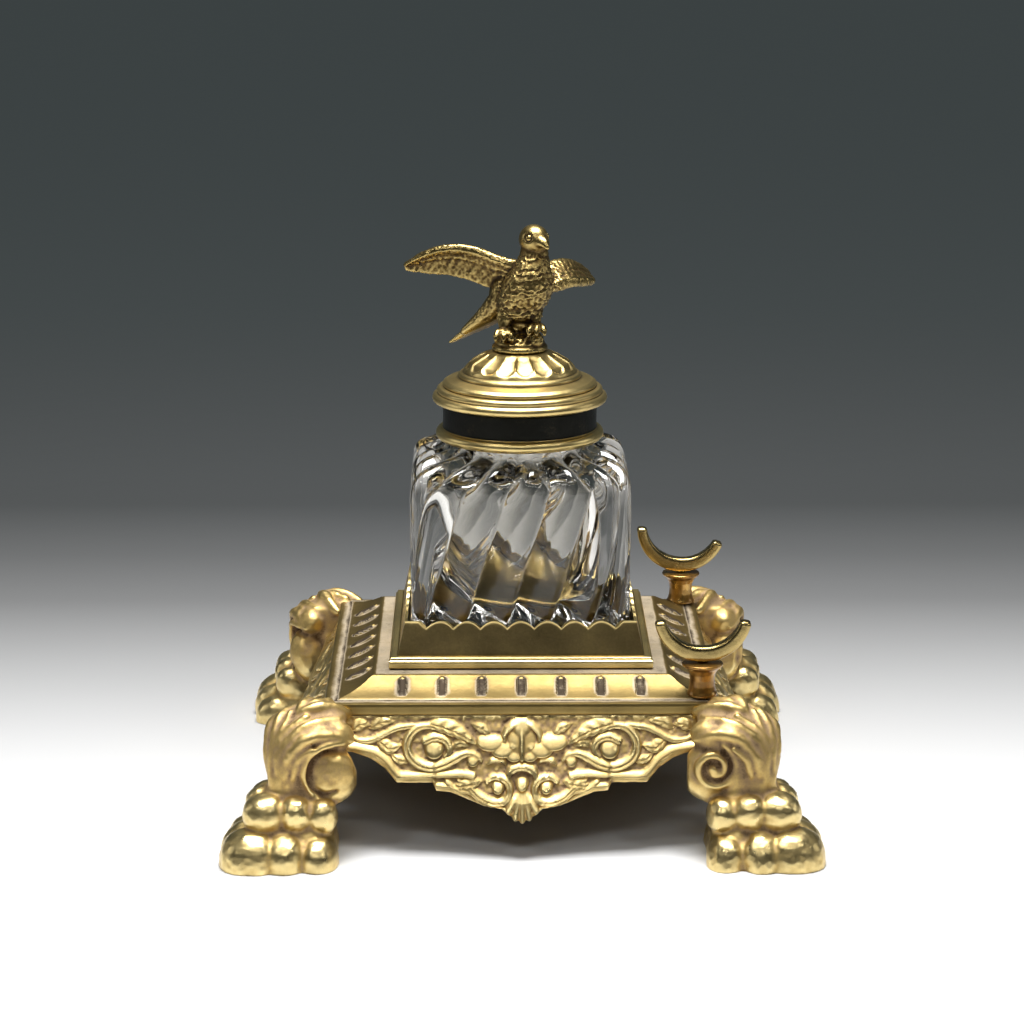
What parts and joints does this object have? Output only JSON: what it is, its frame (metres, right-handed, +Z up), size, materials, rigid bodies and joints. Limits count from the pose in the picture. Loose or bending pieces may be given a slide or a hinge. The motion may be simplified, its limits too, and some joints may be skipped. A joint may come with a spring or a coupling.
{
  "type": "inkwell",
  "caption": "Desk inkwell: square swirl-moulded glass well with hinged brass lid and bird finial, loose in a scalloped gallery on a paw-footed brass stand with crescent pen rests.",
  "frame": {"origin": "centre of the footprint, at the level on which the four paws stand", "axes": "+Z up; -Y is the front of the inkwell; +X is the side that carries the pen rests; the lid hinge is at +Y"},
  "size_m": [0.165, 0.165, 0.1643],
  "materials": {
    "cast_brass": "cast, hand-chased and aged, bright on the high spots",
    "spun_brass": "polished, lightly tarnished",
    "lacquered_brass": "polished under amber lacquer",
    "steel": "dull iron screw stock",
    "glass": "clear pressed glass",
    "plaster": "matte plaster of Paris"
  },
  "bodies": {
    "stand": {"plinth": "cast_brass", "leg_front_left": "cast_brass", "leg_front_right": "cast_brass", "leg_rear_left": "cast_brass", "leg_rear_right": "cast_brass", "leg_screw_front_left": "steel", "leg_screw_front_right": "steel", "leg_screw_rear_left": "steel", "leg_screw_rear_right": "steel", "tray": "cast_brass", "tray_screw": "steel", "gallery": "spun_brass", "pen_rest_spool_front": "lacquered_brass", "pen_rest_spool_rear": "lacquered_brass", "pen_rest_crescent_front": "spun_brass", "pen_rest_crescent_rear": "spun_brass"},
    "well": {"glass_well": "glass", "neck_cement": "plaster", "collar": "spun_brass", "collar_hinge_leaf": "spun_brass", "hinge_pin": "spun_brass"},
    "lid": {"lid": "spun_brass", "lid_hinge_leaf": "spun_brass", "finial_bird": "cast_brass", "finial_nut": "steel"}
  },
  "joints": [
    {"name": "well_lift", "type": "slide", "parent": "stand", "child": "well", "axis": [0, 0, 1], "range_m": [0, 0.06]},
    {"name": "lid_hinge", "type": "hinge", "parent": "well", "child": "lid", "pos_m": [0, 0.0272, 0.1132], "axis": [-1, 0, 0], "range_deg": [0, 100]}
  ]
}
